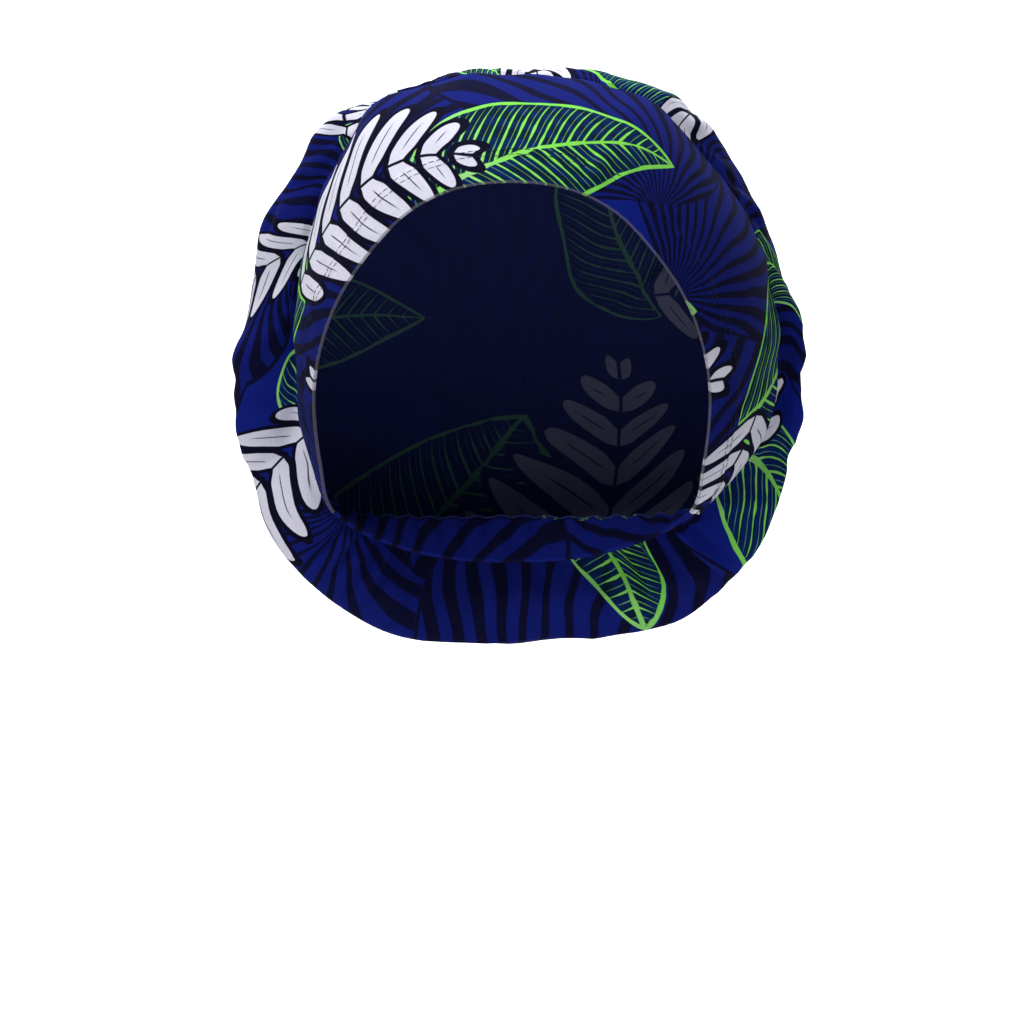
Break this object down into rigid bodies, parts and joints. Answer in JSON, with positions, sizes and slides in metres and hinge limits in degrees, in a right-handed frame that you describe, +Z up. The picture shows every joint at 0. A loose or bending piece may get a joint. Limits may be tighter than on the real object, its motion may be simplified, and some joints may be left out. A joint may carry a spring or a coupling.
{
  "type": "bouffant scrub cap",
  "caption": "Cloth cap with a wide front panel over the brow and ears, a full gathered bag behind it and an elastic casing across the nape, in the form it has when worn",
  "frame": {"origin": "The point inside the cap that the crown of the head bears on, the mount head_seat", "axes": "+Z up as worn, the face opening towards -Y, the wearer's left at +X"},
  "size_m": [0.2299, 0.2271, 0.2281],
  "materials": {
    "printed_cotton": "matt cotton poplin with a printed leaf pattern",
    "casing_cotton": "matt cotton poplin gathered over elastic"
  },
  "bodies": {
    "root": {"front_panel": "printed_cotton", "crown_bag": "printed_cotton", "nape_casing": "casing_cotton"}
  },
  "joints": []
}
